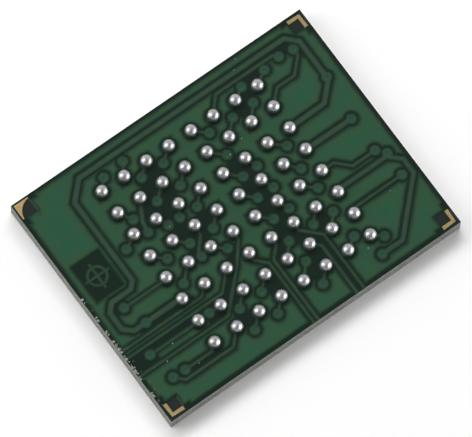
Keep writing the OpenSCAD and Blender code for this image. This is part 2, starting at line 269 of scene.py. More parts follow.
def light_sky():
    """A world that is dim overhead and paler towards the far side, where the paper sweeps up."""
    world = bpy.data.worlds.new("studio_sky")
    world.use_nodes = True
    tree = world.node_tree
    tree.nodes.clear()
    direction = add(tree, "ShaderNodeTexCoord").outputs["Generated"]
    away = camera_axes()[2]
    far_side = Vector((-away.x, -away.y, 0)).normalized()
    facing = add(tree, "ShaderNodeVectorMath", [direction, far_side], operation="DOT_PRODUCT")
    wall = add(tree, "ShaderNodeMapRange",
               [facing.outputs["Value"], *WALL_SWEEP, SKY_OVERHEAD, SKY_BACK_WALL],
               interpolation_type="SMOOTHSTEP")
    height = add(tree, "ShaderNodeSeparateXYZ", [direction]).outputs["Z"]
    level = add(tree, "ShaderNodeMapRange", [height, *HORIZON, 1.0, wall])
    sky = add(tree, "ShaderNodeBackground", {"Strength": level})
    add(tree, "ShaderNodeOutputWorld", {"Surface": sky})
    bpy.context.scene.world = world


light_sky()
bpy.context.scene.view_settings.view_transform = "Standard"
print("sky from", SKY_OVERHEAD, "overhead to", SKY_BACK_WALL, "at the far side")

# %% [markdown]
# ## Solder mask
#
# The green lacquer is printed over the etched copper and cured. It is clear enough to show the copper as a
# light green and the bare resin between as a near black green. Where it steps down a copper edge it is
# thinner and greyer. It could be painted with one flat green, but then the copper wouldn't show. So its
# shader reads what the geometry stores on the mesh: how far each point is inside the copper's edge, how far
# it is from the nearest plated via, and whether it lies over a net or over the wide pour.

# %% Helpers for materials
def new_material(name):
    """A material with an empty node tree, and its shader."""
    material = bpy.data.materials.new(name)
    material.use_nodes = True
    tree = material.node_tree
    tree.nodes.clear()
    shader = add(tree, "ShaderNodeBsdfPrincipled")
    add(tree, "ShaderNodeOutputMaterial", {"Surface": shader})
    return material, tree, shader


def grain(tree, size_mm, detail=2.0, roughness=0.5, stretch=(1, 1, 1)):
    """Noise on object coordinates whose lumps are about size_mm across."""
    place = add(tree, "ShaderNodeTexCoord").outputs["Object"]
    scale = [s / (size_mm * MM) for s in stretch]
    mapped = add(tree, "ShaderNodeMapping", {"Vector": place, "Scale": scale})
    return add(tree, "ShaderNodeTexNoise",
               {"Vector": mapped, "Scale": 1.0, "Detail": detail, "Roughness": roughness})


def object_axes(tree):
    """X, Y and Z of the shaded point on the part."""
    place = add(tree, "ShaderNodeTexCoord").outputs["Object"]
    return add(tree, "ShaderNodeSeparateXYZ", [place]).outputs


# %% Specks and scuffs in the lacquer
SPOTTED_SHARE = 0.28
# cell size in mm, and a spot's radius at its faint rim and at its full heart, as shares of a cell
SPECKS = (1.1, 0.085, 0.03)
SCUFFS = (0.11, 0.42, 0.25)
# across, from the side: where scuffs begin to show and where they are full; and the same along the side
SCUFFED_BAND = (body_low.x + 0.42 * MM, body_low.x + 0.05 * MM)
SCUFFED_STRETCH = (0.6 * MM, -0.2 * MM)


def scattered_spots(tree, cell_mm, rim, heart):
    """Soft spots, one in each cell that the lot picks from a random pattern."""
    place = add(tree, "ShaderNodeTexCoord").outputs["Object"]
    cells = add(tree, "ShaderNodeTexVoronoi", {"Vector": place, "Scale": 1 / (cell_mm * MM)})
    spot = add(tree, "ShaderNodeMapRange", [cells.outputs["Distance"], rim, heart])
    lot = add(tree, "ShaderNodeSeparateColor", [cells.outputs["Color"]])
    chosen = add(tree, "ShaderNodeMath", [lot, 1 - SPOTTED_SHARE], operation="GREATER_THAN")
    return product(tree, spot, chosen)


def saw_scuffs(tree):
    """Pale crumbs in the lacquer along the left side, where the saw tore out glass fibres."""
    axes = object_axes(tree)
    across = add(tree, "ShaderNodeMapRange", [axes["X"], *SCUFFED_BAND])
    along = add(tree, "ShaderNodeMapRange", [axes["Y"], *SCUFFED_STRETCH])
    return product(tree, across, along, scattered_spots(tree, *SCUFFS))


# %% Solder mask material
# the lacquer's tone by its distance in mm from the copper's edge, positive on the copper
LACQUER_TONES = [
    (-0.3, "13221c"), (-0.08, "10231a"), (-0.04, "11271c"), (-0.015, "142d1f"), (0.006, "1a3624"),
    (0.03, "203b2a"), (0.057, "274331"), (0.08, "2b4937"), (0.115, "2e503a"), (0.18, "2d513a"),
    (0.25, "2a523b"), (0.4, "27543c"), (0.5, "25533d"),
]
# tints over that, each with how much of it shows at most
NET_TINT = ("38463c", 0.4)
CLOUD_TINT = ("365231", 0.38)
VIA_TINT = ("275240", 0.75)
SPECK_TINT = ("1d3325", 0.5)
SCUFF_TINT = ("5c675f", 0.75)
CLOUD_MM = 0.38
PEEL_MM = 0.12
# from where a via's tint begins to where it is full, and the same for the clouds over a copper edge
VIA_RIM_MM = (0.11, 0.02)
CLOUD_RIM_MM = (-0.02, 0.04)


def solder_mask_lacquer():
    """Clear green epoxy, printed and cured: a soft gloss, light green over copper, near black between."""
    material, tree, shader = new_material("solder_mask_lacquer")
    edge, via, track = [add(tree, "ShaderNodeAttribute", attribute_name=name).outputs["Fac"]
                        for name in ("edge_mm", "via_mm", "track")]
    first, last = LACQUER_TONES[0][0], LACQUER_TONES[-1][0]
    along = add(tree, "ShaderNodeMapRange", [edge, first, last])
    colour = add(tree, "ShaderNodeValToRGB", [along],
                 tones=[((mm - first) / (last - first), tone) for mm, tone in LACQUER_TONES])
    near_via = add(tree, "ShaderNodeMapRange", [via, *VIA_RIM_MM], interpolation_type="SMOOTHSTEP")
    off_via = add(tree, "ShaderNodeMath", [1.0, near_via], operation="SUBTRACT")
    clouds = add(tree, "ShaderNodeMapRange", [grain(tree, CLOUD_MM, detail=3), 0.48, 0.66])
    on_copper = add(tree, "ShaderNodeMapRange", [edge, *CLOUD_RIM_MM])
    # each tint over the one before, where all of its conditions hold
    layers = [(NET_TINT, track, off_via), (CLOUD_TINT, on_copper, clouds), (VIA_TINT, near_via),
              (SPECK_TINT, scattered_spots(tree, *SPECKS)), (SCUFF_TINT, saw_scuffs(tree))]
    for (tone, most), *conditions in layers:
        share = product(tree, *conditions, most)
        colour = add(tree, "ShaderNodeMix", {FACTOR: share, FIRST: colour, SECOND: linear(tone)},
                     data_type="RGBA")
    # the orange peel that printing leaves
    relief = add(tree, "ShaderNodeBump", {
        "Height": grain(tree, PEEL_MM, detail=3), "Strength": 0.15, "Distance": 0.004 * MM})
    fill(tree, shader, {"Base Color": colour, "Roughness": 0.3, "IOR": 1.5, "Specular IOR Level": 0.25,
                        "Normal": relief})
    return material


MASK = solder_mask_lacquer()
print("made", MASK.name)

# %% [markdown]
# The lacquer's surface is a height field, so Geometry Nodes make it from a flat grid. The copper pieces of
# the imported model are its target: the distance to their side walls says how far a point is from an edge,
# and the distance to their top faces says on which side of it. Points over copper rise to the crown, points
# between nets sink to the valley, and the corner windows are let down into the core. Last, the outline is
# drawn down as a skirt to the core, and a shallow dish closes it from below.

# %% Gather the copper as targets
COPPER_NODES = ["ground_pour", "dog_bone_traces", "long_traces", "registration_target"]


def gather(name, node_names):
    """One helper object with a copy of each node's mesh. It isn't part of the model."""
    points, faces = [], []
    for node_name in node_names:
        mesh = nodes[node_name].data
        start = len(points)
        points += [v.co[:] for v in mesh.vertices]
        faces += [[start + i for i in polygon.vertices] for polygon in mesh.polygons]
    mesh = bpy.data.meshes.new(name)
    mesh.from_pydata(points, [], faces)
    helper = bpy.data.objects.new(name, mesh)
    bpy.context.scene.collection.objects.link(helper)
    return helper


copper = gather("copper_target", COPPER_NODES)
nets = gather("net_target", COPPER_NODES[1:])
vias = gather("via_target", ["via_plugs"])
print("copper target has", len(copper.data.polygons), "faces")

# %% Helpers for geometry trees
def tree_with_inputs(name, sockets):
    """A Geometry Nodes tree with named inputs, and the nodes at its two ends."""
    tree = bpy.data.node_groups.new(name, "GeometryNodeTree")
    tree.interface.new_socket("Geometry", in_out="OUTPUT", socket_type="NodeSocketGeometry")
    tree.interface.new_socket("Geometry", in_out="INPUT", socket_type="NodeSocketGeometry")
    for label, kind in sockets.items():
        tree.interface.new_socket(label, in_out="INPUT", socket_type="NodeSocket" + kind)
    return tree, tree.nodes.new("NodeGroupInput").outputs, tree.nodes.new("NodeGroupOutput")


def end_tree(tree, geometry, material, end):
    """Makes instances real and paints them, because the export drops instances."""
    real = add(tree, "GeometryNodeRealizeInstances", [geometry])
    painted = add(tree, "GeometryNodeSetMaterial", {"Geometry": real, "Material": material})
    fill(tree, end, [painted])


def point_axes(tree):
    """X, Y and Z of each point of the geometry."""
    return add(tree, "ShaderNodeSeparateXYZ", [add(tree, "GeometryNodeInputPosition")]).outputs


# a face whose normal rises by more than this faces up, and one with less is a wall
FACING_UP = 0.5


def distance_to(tree, geometry, part):
    """How far each point is from the tops of geometry, which face up, or from its upright walls."""
    upward = add(tree, "ShaderNodeSeparateXYZ", [add(tree, "GeometryNodeInputNormal")]).outputs["Z"]
    if part == "tops":
        wanted = add(tree, "ShaderNodeMath", [upward, FACING_UP], operation="GREATER_THAN")
    else:
        slope = add(tree, "ShaderNodeMath", [upward], operation="ABSOLUTE")
        wanted = add(tree, "ShaderNodeMath", [slope, FACING_UP], operation="LESS_THAN")
    faces = add(tree, "GeometryNodeSeparateGeometry", {"Geometry": geometry, "Selection": wanted},
                domain="FACE").outputs["Selection"]
    return add(tree, "GeometryNodeProximity", [faces], target_element="FACES").outputs["Distance"]


# %% Lacquer tree: a grid that knows where its points lie
# closer than this to a face, a point counts as on it
TOUCH = 0.001 * MM


def flat_grid(tree, given):
    """A level grid over the whole part, at the height of the copper's top."""
    counts = []
    for side in ("Length", "Width"):
        cells = add(tree, "ShaderNodeMath", [given[side], given["Cell"]], operation="DIVIDE")
        whole = add(tree, "ShaderNodeMath", [cells], operation="ROUND")
        counts.append(add(tree, "ShaderNodeMath", [whole, 1], operation="ADD"))
    grid = add(tree, "GeometryNodeMeshGrid", [given["Length"], given["Width"], *counts])
    lift = add(tree, "ShaderNodeCombineXYZ", {"Z": given["Copper top"]})
    return add(tree, "GeometryNodeSetPosition", {"Geometry": grid.outputs["Mesh"], "Offset": lift})


def mark_distances(tree, given, flat):
    """Stores on each point its distance to a copper edge and to a via, and 1 if it lies on a net."""
    shape, lone, drilled = [add(tree, "GeometryNodeObjectInfo", {"Object": given[name]}).outputs["Geometry"]
                            for name in ("Copper", "Nets", "Vias")]
    on_copper, on_net = [
        add(tree, "ShaderNodeMath", [distance_to(tree, metal, "tops"), TOUCH], operation="LESS_THAN")
        for metal in (shape, lone)]
    # 1 on the copper and -1 beside it
    side = add(tree, "ShaderNodeMath", [on_copper, 2, -1], operation="MULTIPLY_ADD")
    spread = product(tree, on_net, given["Net spread"])
    from_wall = distance_to(tree, shape, "walls")
    from_edge = add(tree, "ShaderNodeMath", [from_wall, side, spread], operation="MULTIPLY_ADD")
    stored = {"edge_mm": product(tree, from_edge, 1 / MM), "track": on_net,
              "via_mm": product(tree, distance_to(tree, drilled, "tops"), 1 / MM)}
    marked = flat
    for name, value in stored.items():
        marked = add(tree, "GeometryNodeStoreNamedAttribute",
                     {"Geometry": marked, "Name": name, "Value": value}, data_type="FLOAT", domain="POINT")
    return marked


# %% Lacquer tree: its height and its side
# how far the windows' floor lies under the core's top, so that the core shows there
WINDOW_DEPTH = 0.01 * MM
# any small step does, because the node after it sets the real height
SKIRT_STEP = 0.001 * MM


def in_corner_window(tree, given, axes):
    """1 in the open window round each corner mark, where both insets lie within its limits."""
    insets = []
    for side, axis in (("Length", "X"), ("Width", "Y")):
        off_centre = add(tree, "ShaderNodeMath", [axes[axis]], operation="ABSOLUTE")
        half = product(tree, given[side], 0.5)
        insets.append(add(tree, "ShaderNodeMath", [half, off_centre], operation="SUBTRACT"))
    nearest = add(tree, "ShaderNodeMath", insets, operation="MINIMUM")
    farthest = add(tree, "ShaderNodeMath", insets, operation="MAXIMUM")
    past = add(tree, "ShaderNodeMath", [nearest, given["Window from"]], operation="GREATER_THAN")
    before = add(tree, "ShaderNodeMath", [farthest, given["Window to"]], operation="LESS_THAN")
    return product(tree, past, before)


def raise_relief(tree, given, marked):
    """Crown over copper, valley between nets, and the core's level in the corner windows."""
    edge = add(tree, "GeometryNodeInputNamedAttribute", {"Name": "edge_mm"}, data_type="FLOAT")
    # the slope is two shoulders wide and ends at the copper's edge
    foot = product(tree, given["Shoulder"], -2 / MM)
    rise = add(tree, "ShaderNodeMapRange", [edge, foot, 0.0, given["Valley"], given["Crown"]],
               interpolation_type="SMOOTHSTEP")
    axes = point_axes(tree)
    sunk = add(tree, "ShaderNodeMath", [given["Core top"], WINDOW_DEPTH], operation="SUBTRACT")
    height = add(tree, "ShaderNodeMix", {FACTOR: in_corner_window(tree, given, axes), 2: rise, 3: sunk},
                 data_type="FLOAT")
    target = add(tree, "ShaderNodeCombineXYZ", [axes["X"], axes["Y"], height])
    return add(tree, "GeometryNodeSetPosition", {"Geometry": marked, "Position": target})


def draw_skirt(tree, given, relief):
    """Draws the outline down the sawn side to the top of the core."""
    rim = add(tree, "FunctionNodeCompare", {2: add(tree, "GeometryNodeInputMeshEdgeNeighbors"), 3: 1},
              data_type="INT", operation="EQUAL")
    skirt = add(tree, "GeometryNodeExtrudeMesh", {
        "Mesh": relief, "Selection": rim, "Offset": (0, 0, -1), "Offset Scale": SKIRT_STEP},
        mode="EDGES")
    axes = point_axes(tree)
    level = add(tree, "ShaderNodeCombineXYZ", [axes["X"], axes["Y"], given["Core top"]])
    return add(tree, "GeometryNodeSetPosition", {
        "Geometry": skirt.outputs["Mesh"], "Selection": skirt.outputs["Top"], "Position": level})


def lacquer_tree():
    """The whole tree, from the grid to the skirt."""
    tree, given, end = tree_with_inputs("lacquer_over_copper", {
        "Copper": "Object", "Nets": "Object", "Vias": "Object", "Net spread": "Float",
        "Length": "Float", "Width": "Float", "Cell": "Float",
        "Copper top": "Float", "Valley": "Float", "Crown": "Float", "Core top": "Float",
        "Shoulder": "Float", "Window from": "Float", "Window to": "Float", "Material": "Material",
    })
    marked = mark_distances(tree, given, flat_grid(tree, given))
    relief = raise_relief(tree, given, marked)
    end_tree(tree, draw_skirt(tree, given, relief), given["Material"], end)
    return tree


LACQUER_TREE = lacquer_tree()
print("lacquer tree has", len(LACQUER_TREE.nodes), "nodes")

# %% Run a tree and keep its result as a plain mesh
# an edge sharper than this stays a crease
CREASE = math.radians(60)


def grow(name, tree, values, seeds=(), lines=()):
    """Runs the tree on seed points and lines with the named values and returns a plain mesh object."""
    seedling = bpy.data.objects.new(name + "_seed", bpy.data.meshes.new(name + "_seed"))
    seedling.data.from_pydata([tuple(seed) for seed in seeds], lines, [])
    bpy.context.scene.collection.objects.link(seedling)
    modifier = seedling.modifiers.new("grow", "NODES")
    modifier.node_group = tree
    for item in tree.interface.items_tree:
        if item.in_out == "INPUT" and item.name in values:
            modifier[item.identifier] = values[item.name]
    depsgraph = bpy.context.evaluated_depsgraph_get()
    mesh = bpy.data.meshes.new_from_object(seedling.evaluated_get(depsgraph),
                                           preserve_all_data_layers=True, depsgraph=depsgraph)
    mesh.name = name
    bpy.data.objects.remove(seedling)
    piece = bpy.data.objects.new(name, mesh)
    bpy.context.scene.collection.objects.link(piece)
    print(name, "has", sum(len(p.vertices) - 2 for p in mesh.polygons), "triangles")
    return piece


def finish_piece(piece, slot, *replaced):
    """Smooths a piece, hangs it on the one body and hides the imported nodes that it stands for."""
    for polygon in piece.data.polygons:
        polygon.use_smooth = True
    piece.data.set_sharp_from_angle(angle=CREASE)
    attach(piece, "root")
    if replaced:
        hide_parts(*replaced)


def close_underside(piece, inset, depth):
    """Closes the open loop at the foot of the skirt with a shallow dish that is hidden in the core."""
    sheet = bmesh.new()
    sheet.from_mesh(piece.data)
    loop = [edge for edge in sheet.edges if edge.is_boundary]
    wall = bmesh.ops.extrude_edge_only(sheet, edges=loop)["geom"]
    foot = [part for part in wall if isinstance(part, bmesh.types.BMVert)]
    reach = [max(vert.co[axis] for vert in foot) for axis in (0, 1)]
    for vert in foot:
        vert.co.x *= 1 - inset / reach[0]
        vert.co.y *= 1 - inset / reach[1]
        vert.co.z -= depth
    middle = sheet.verts.new((0, 0, foot[0].co.z))
    for edge in [edge for edge in sheet.edges if edge.is_boundary]:
        sheet.faces.new((*edge.verts, middle))
    bmesh.ops.recalc_face_normals(sheet, faces=sheet.faces)
    print("open edges left:", sum(not edge.is_manifold for edge in sheet.edges),
          "volume in mm3:", round(sheet.calc_volume(signed=True) / MM ** 3, 3))
    sheet.to_mesh(piece.data)
    sheet.free()


# %% The lacquer
CELL = 0.037 * MM
NET_SPREAD = 0.01 * MM
VALLEY_DEPTH = 0.015 * MM
SHOULDER = 0.02 * MM
# how far a window's open core reaches past its mark, to the outside and to the inside
WINDOW_OUTER, WINDOW_INNER = 0.03 * MM, 0.02 * MM

mask_low, mask_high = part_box("ball_side_mask")
mark_low, mark_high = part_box("corner_mark_top_right")
lacquer = grow("solder_mask_skin", LACQUER_TREE, {
    "Copper": copper, "Nets": nets, "Vias": vias, "Net spread": NET_SPREAD,
    "Length": mask_high.x - mask_low.x, "Width": mask_high.y - mask_low.y, "Cell": CELL,
    "Copper top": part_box("ground_pour")[1].z, "Valley": mask_high.z - VALLEY_DEPTH,
    "Crown": mask_high.z, "Core top": mask_low.z, "Shoulder": SHOULDER,
    "Window from": mask_high.x - mark_high.x - WINDOW_OUTER,
    "Window to": mask_high.x - mark_low.x + WINDOW_INNER, "Material": MASK,
})
close_underside(lacquer, inset=0.05 * MM, depth=0.02 * MM)
finish_piece(lacquer, "solder_mask", "ball_side_mask")
for helper in (copper, nets, vias):
    bpy.data.objects.remove(helper)

# %% [markdown]
# ## Solder balls
#
# Tin alloy, melted in place, so surface tension makes each ball round and bright, with a fine frost where
# the alloy's crystals froze. A plain sphere would show the same two lobes 64 times over. So Geometry Nodes
# set one ball on each point of the grid, turned by a random angle, and a soft noise presses shallow flats
# into it. Last, each ball is cut flat at the pad that it was melted onto.

# %% Bright solder
def bright_solder():
    """Tin alloy frozen from the melt: a mirror with a fine frost, so each lamp shows as a soft lobe."""
    material, tree, shader = new_material("bright_solder")
    # the real crystals are finer, and are drawn at 0.05 mm so that they show
    frost = grain(tree, 0.05, detail=4, roughness=0.6)
    patches = add(tree, "ShaderNodeMapRange", [grain(tree, 0.16), 0.35, 0.65])
    tone = add(tree, "ShaderNodeValToRGB", [patches], tones=[(0, "d8d7dc"), (1, "e6e6e8")])
    sheen = add(tree, "ShaderNodeMapRange", {"Value": frost, "To Min": 0.39, "To Max": 0.41})
    relief = add(tree, "ShaderNodeBump", {"Height": frost, "Strength": 0.03, "Distance": 0.004 * MM})
    fill(tree, shader, {"Base Color": tone, "Metallic": 1, "Roughness": sheen, "Normal": relief})
    return material


SOLDER = bright_solder()
print("made", SOLDER.name)

# %% Geometry Nodes tree for the balls
FULL_TURN = (math.tau, math.tau, math.tau)
BALL_SUBDIVISIONS = 4
FLAT_SIZE = 0.3 * MM


def ball_tree():
    """A square grid of balls, each turned by chance, dented and seated on its pad."""
    tree, given, end = tree_with_inputs("reflowed_balls", {
        "Span": "Float", "Count": "Int", "Radius": "Float", "Centre height": "Float", "Dent": "Float",
        "Base height": "Float", "Seed": "Int", "Material": "Material",
    })
    grid = add(tree, "GeometryNodeMeshGrid", [given["Span"], given["Span"], given["Count"], given["Count"]])
    lift = add(tree, "ShaderNodeCombineXYZ", {"Z": given["Centre height"]})
    points = add(tree, "GeometryNodeSetPosition", {"Geometry": grid.outputs["Mesh"], "Offset": lift})
    ball = add(tree, "GeometryNodeMeshIcoSphere", [given["Radius"], BALL_SUBDIVISIONS])
    turn = add(tree, "FunctionNodeRandomValue", {0: (0, 0, 0), 1: FULL_TURN, "Seed": given["Seed"]},
               data_type="FLOAT_VECTOR")
    placed = add(tree, "GeometryNodeInstanceOnPoints", {
        "Points": points, "Instance": ball.outputs["Mesh"], "Rotation": turn.outputs[0]})
    real = add(tree, "GeometryNodeRealizeInstances", [placed])
    # soft noise presses shallow flats inwards
    lumps = add(tree, "ShaderNodeTexNoise", {
        "Vector": add(tree, "GeometryNodeInputPosition"), "Scale": 1 / FLAT_SIZE, "Detail": 1.0})
    press = product(tree, add(tree, "ShaderNodeMath", [lumps, 1.0], operation="SUBTRACT"), given["Dent"])
    inward = add(tree, "ShaderNodeVectorMath", {0: add(tree, "GeometryNodeInputNormal"), "Scale": press},
                 operation="SCALE")
    pressed = add(tree, "GeometryNodeSetPosition", {"Geometry": real, "Offset": inward})
    # the flat joint on the pad
    axes = point_axes(tree)
    height = add(tree, "ShaderNodeMath", [axes["Z"], given["Base height"]], operation="MAXIMUM")
    seated = add(tree, "ShaderNodeCombineXYZ", [axes["X"], axes["Y"], height])
    joined = add(tree, "GeometryNodeSetPosition", {"Geometry": pressed, "Position": seated})
    end_tree(tree, joined, given["Material"], end)
    return tree


# %% The balls
DENT = 0.011 * MM
BALL_SEED = 7
ROWS = ["solder_balls_row_" + letter for letter in "abcdefgh"]
row_low, row_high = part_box(ROWS[0])
ball_radius = (row_high.y - row_low.y) / 2
balls = grow("solder_balls", ball_tree(), {
    "Span": row_high.x - row_low.x - 2 * ball_radius, "Count": len(ROWS), "Radius": ball_radius,
    "Centre height": row_high.z - ball_radius, "Dent": DENT, "Base height": row_low.z, "Seed": BALL_SEED,
    "Material": SOLDER,
})
finish_piece(balls, "solder", *ROWS)

# %% [markdown]
# ## Sawn sides
#
# Packages are moulded and ball-mounted on a strip and then sawn apart, so all four sides show fresh cuts
# with fine level streaks. The laminate's cut shows glass bundles as pale dashes in greyer resin. The mould
# compound's cut is grey too, with pale grains of silica filler. Both finishes are noise on the part's own
# coordinates, squeezed in height, so the streaks run level round all four sides without a seam.

# %% Sawn laminate
# a face steeper than this is a cut side
LEVEL = 0.7


def sawn_laminate():
    """Glass cloth in epoxy, sawn: dull grey with pale bundles of fibre. Its level faces are dark resin."""
    material, tree, shader = new_material("sawn_glass_laminate")
    bundles = add(tree, "ShaderNodeMapRange", [grain(tree, 0.35, detail=1, stretch=(1, 1, 6)), 0.35, 0.65])
    streaks = grain(tree, 0.12, detail=4, roughness=0.75, stretch=(1, 1, 2))
    wide_streaks = add(tree, "ShaderNodeMapRange", [streaks, 0.3, 0.7])
    cloth = add(tree, "ShaderNodeValToRGB", [bundles], tones=[(0, "727970"), (0.5, "878e85"), (1, "9fa59c")])
    scored = add(tree, "ShaderNodeValToRGB", [wide_streaks], tones=[(0, "40463b"), (1, "bcc0b6")])
    cut = add(tree, "ShaderNodeMix", {FACTOR: 0.5, FIRST: cloth, SECOND: scored}, data_type="RGBA")
    normal = add(tree, "ShaderNodeNewGeometry").outputs["Normal"]
    upward = add(tree, "ShaderNodeSeparateXYZ", [normal]).outputs["Z"]
    slope = add(tree, "ShaderNodeMath", [upward], operation="ABSOLUTE")
    level_face = add(tree, "ShaderNodeMath", [slope, LEVEL], operation="GREATER_THAN")
    whole = add(tree, "ShaderNodeMix", {FACTOR: level_face, FIRST: cut, SECOND: linear("1c2624")},
                data_type="RGBA")
    relief = add(tree, "ShaderNodeBump", {"Height": streaks, "Strength": 0.4, "Distance": 0.01 * MM})
    fill(tree, shader, {"Base Color": whole, "Roughness": 0.7, "Specular IOR Level": 0.3,
                        "Normal": relief})
    return material


# %% Sawn mould compound
RIDGE_HEIGHT = 0.33 * MM
RIDGE_WANDER = 0.12 * MM


def saw_ridge(tree):
    """The fine dark step at mid height that two saw passes leave, one from each side."""
    sway = add(tree, "ShaderNodeMath", [grain(tree, 0.9), 0.5], operation="SUBTRACT")
    line = add(tree, "ShaderNodeMath", [sway, RIDGE_WANDER, RIDGE_HEIGHT], operation="MULTIPLY_ADD")
    above = add(tree, "ShaderNodeMath", [object_axes(tree)["Z"], line], operation="SUBTRACT")
    off_line = add(tree, "ShaderNodeMath", [above], operation="ABSOLUTE")
    on_line = add(tree, "ShaderNodeMapRange", [off_line, 0.05 * MM, 0.01 * MM])
    broken = add(tree, "ShaderNodeMapRange", [grain(tree, 0.5), 0.35, 0.6])
    return product(tree, on_line, broken)


def mould_compound():
    """Epoxy with silica filler, moulded and sawn: a matt grey with pale grains and darker smears."""
    material, tree, shader = new_material("epoxy_mould_compound")
    streaks = add(tree, "ShaderNodeMapRange", [
        grain(tree, 0.13, detail=5, roughness=0.75, stretch=(1, 1, 2)), 0.33, 0.67])
    colour = add(tree, "ShaderNodeValToRGB", [streaks],
                 tones=[(0, "5f625b"), (0.5, "8a8c86"), (1, "b6b8b1")])
    # most of the real filler is finer, and only its coarsest grains are drawn
    filler = grain(tree, 0.04, detail=3)
    grains = add(tree, "ShaderNodeMapRange", [filler, 0.62, 0.72])
    for share, tone in ((grains, "b3ada4"), (saw_ridge(tree), "5c564c")):
        colour = add(tree, "ShaderNodeMix", {FACTOR: share, FIRST: colour, SECOND: linear(tone)},
                     data_type="RGBA")
    relief = add(tree, "ShaderNodeBump", {"Height": filler, "Strength": 0.3, "Distance": 0.008 * MM})
    fill(tree, shader, {"Base Color": colour, "Roughness": 0.75, "Specular IOR Level": 0.3,
                        "Normal": relief})
    return material


def dress(material, *node_names):
    """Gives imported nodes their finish. Their meshes and places stay as they are."""
    for name in node_names:
        mesh = nodes[name].data
        mesh.materials.clear()
        mesh.materials.append(material)
    print(material.name, "on", ", ".join(node_names))


dress(sawn_laminate(), "laminate_core")
dress(mould_compound(), "mold_cap")

# %% [markdown]
# ## Splinters and dust
#
# The saw tears glass fibres out of one long side, and they stay on the edge as pale crumbs. A few grains of
# dust lie on the lacquer. Both are blobs that one tree sets on seed points, squashed, turned and roughened
# by chance, and kept inside the part's outline and above a lowest level.

# %% A finish of two close tones
def plain_finish(name, dark, light, grain_mm, roughness, metallic=0.0):
    """A finish of two close tones, for small pieces and for those that are mostly hidden."""
    material, tree, shader = new_material(name)
    lumps = add(tree, "ShaderNodeMapRange", [grain(tree, grain_mm), 0.3, 0.7])
    tone = add(tree, "ShaderNodeValToRGB", [lumps], tones=[(0, dark), (1, light)])
    fill(tree, shader, {"Base Color": tone, "Metallic": metallic, "Roughness": roughness})
    return material


# %% A tree that sets rough crumbs on points
CRUMB_SUBDIVISIONS = 3
CRUMB_LUMP = 0.05 * MM


def crumb_tree():
    """A rough blob on each seed point, squashed and turned by chance, and trimmed to its limits."""
    tree, given, end = tree_with_inputs("crumbs_on_points", {
        "Size": "Float", "Smallest": "Vector", "Roughen": "Float", "Left limit": "Float",
        "Lowest": "Float", "Seed": "Int", "Material": "Material",
    })
    blob = add(tree, "GeometryNodeMeshIcoSphere", [given["Size"], CRUMB_SUBDIVISIONS])
    turn = add(tree, "FunctionNodeRandomValue", {0: (0, 0, 0), 1: FULL_TURN, "Seed": given["Seed"]},
               data_type="FLOAT_VECTOR")
    squash = add(tree, "FunctionNodeRandomValue", {
        0: given["Smallest"], 1: (1, 1, 1), "Seed": given["Seed"]}, data_type="FLOAT_VECTOR")
    placed = add(tree, "GeometryNodeInstanceOnPoints", {
        "Points": given["Geometry"], "Instance": blob.outputs["Mesh"], "Rotation": turn.outputs[0],
        "Scale": squash.outputs[0]})
    real = add(tree, "GeometryNodeRealizeInstances", [placed])
    lumps = add(tree, "ShaderNodeTexNoise", {
        "Vector": add(tree, "GeometryNodeInputPosition"), "Scale": 1 / CRUMB_LUMP, "Detail": 2.0})
    push = product(tree, add(tree, "ShaderNodeMath", [lumps, 0.5], operation="SUBTRACT"),
                   given["Roughen"])
    outward = add(tree, "ShaderNodeVectorMath", {0: add(tree, "GeometryNodeInputNormal"), "Scale": push},
                  operation="SCALE")
    rough = add(tree, "GeometryNodeSetPosition", {"Geometry": real, "Offset": outward})
    axes = point_axes(tree)
    across = add(tree, "ShaderNodeMath", [axes["X"], given["Left limit"]], operation="MAXIMUM")
    height = add(tree, "ShaderNodeMath", [axes["Z"], given["Lowest"]], operation="MAXIMUM")
    inside = add(tree, "ShaderNodeCombineXYZ", [across, axes["Y"], height])
    trimmed = add(tree, "GeometryNodeSetPosition", {"Geometry": rough, "Position": inside})
    end_tree(tree, trimmed, given["Material"], end)
    return tree


CRUMBS = crumb_tree()
print("crumb tree has", len(CRUMBS.nodes), "nodes")

# %% Splinters along the sawn edge
TORN_PLACES_MM = [-0.33, -0.95, -1.4, -1.55, -1.8, -2.1, -2.2, -2.5, -2.65, -2.75, -3.0, -3.8, 0.54]
SPLINTERS_PER_PLACE = 5
SPLINTER_INSET_MM, INSET_STEP_MM = 0.03, 0.02
SPLINTER_SWAY_MM = 0.09
SPLINTER_DROP = 0.012 * MM
splinter_seeds = []
for place in TORN_PLACES_MM:
    for step in range(SPLINTERS_PER_PLACE):
        # uneven, but the same on each run
        sway = math.sin(12.9 * place + 4.1 * step)
        inset_mm = SPLINTER_INSET_MM + INSET_STEP_MM * step * abs(sway)
        splinter_seeds.append((body_low.x + inset_mm * MM, (place + SPLINTER_SWAY_MM * sway) * MM,
                               mask_high.z - SPLINTER_DROP * step))
splinters = grow("glass_splinters", CRUMBS, {
    "Size": 0.056 * MM, "Smallest": (0.4, 0.3, 0.25), "Roughen": 0.03 * MM, "Left limit": body_low.x,
    "Lowest": mask_low.z, "Seed": 3,
    # glass fibre, broken by the saw: a greyed white with no gloss
    "Material": plain_finish("torn_glass_fibre", "6a6d65", "b2b2a8", 0.05, 0.6),
}, splinter_seeds)
finish_piece(splinters, "laminate")

